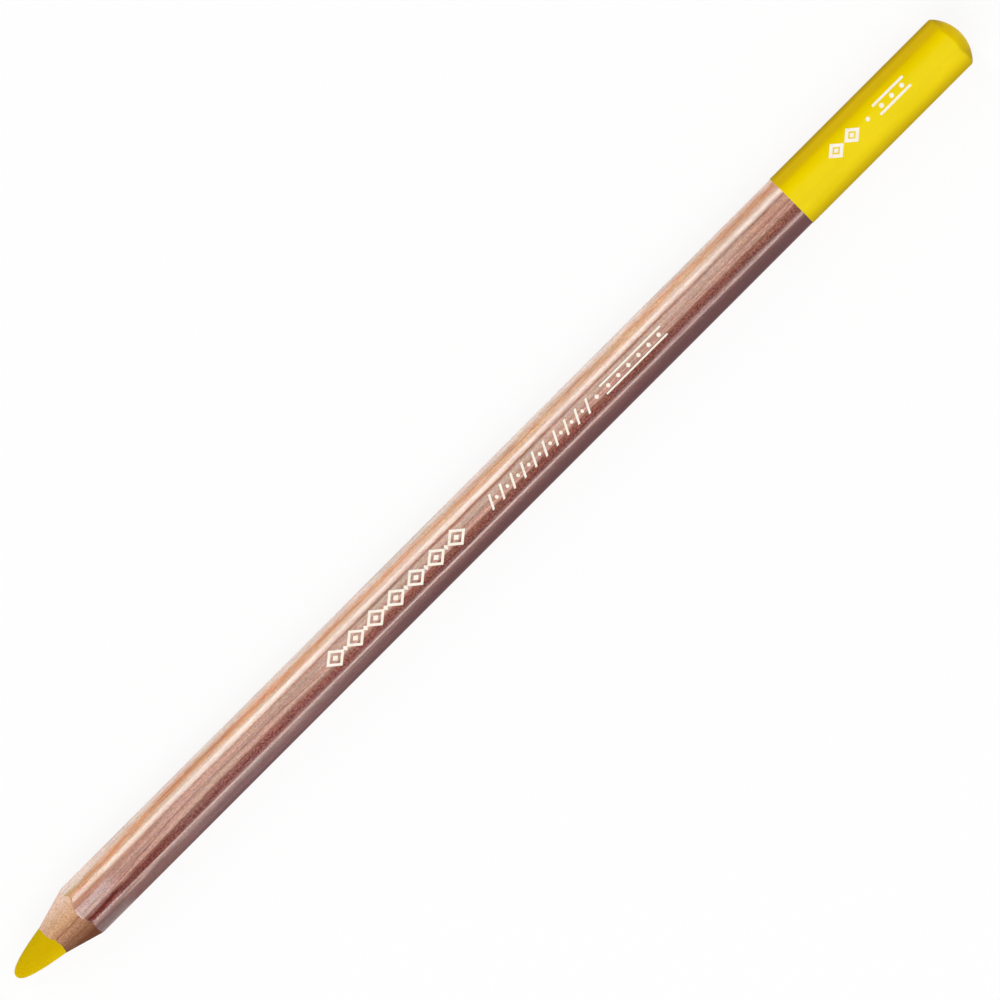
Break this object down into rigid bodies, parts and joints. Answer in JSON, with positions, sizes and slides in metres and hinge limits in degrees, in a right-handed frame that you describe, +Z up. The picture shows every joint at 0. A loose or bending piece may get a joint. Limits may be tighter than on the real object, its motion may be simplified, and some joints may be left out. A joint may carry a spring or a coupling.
{
  "type": "pastel pencil",
  "caption": "Sharpened hexagonal cedar pencil with a thick yellow pastel core and a domed, lacquer-dipped end, lying on one flat.",
  "frame": {"origin": "bottom centre of the bounding box, on the surface that the pencil lies on", "axes": "+X from the point to the dipped end, +Z up, +Y to the left when looking towards the dipped end"},
  "size_m": [0.175, 0.008, 0.0074],
  "materials": {
    "pastel": "matte",
    "cedar": "gloss",
    "dip_lacquer": "satin",
    "foil_print": "satin"
  },
  "bodies": {
    "root": {"pastel_core": "pastel", "upper_slat": "cedar", "lower_slat": "cedar", "dipped_cap": "dip_lacquer"}
  },
  "joints": []
}
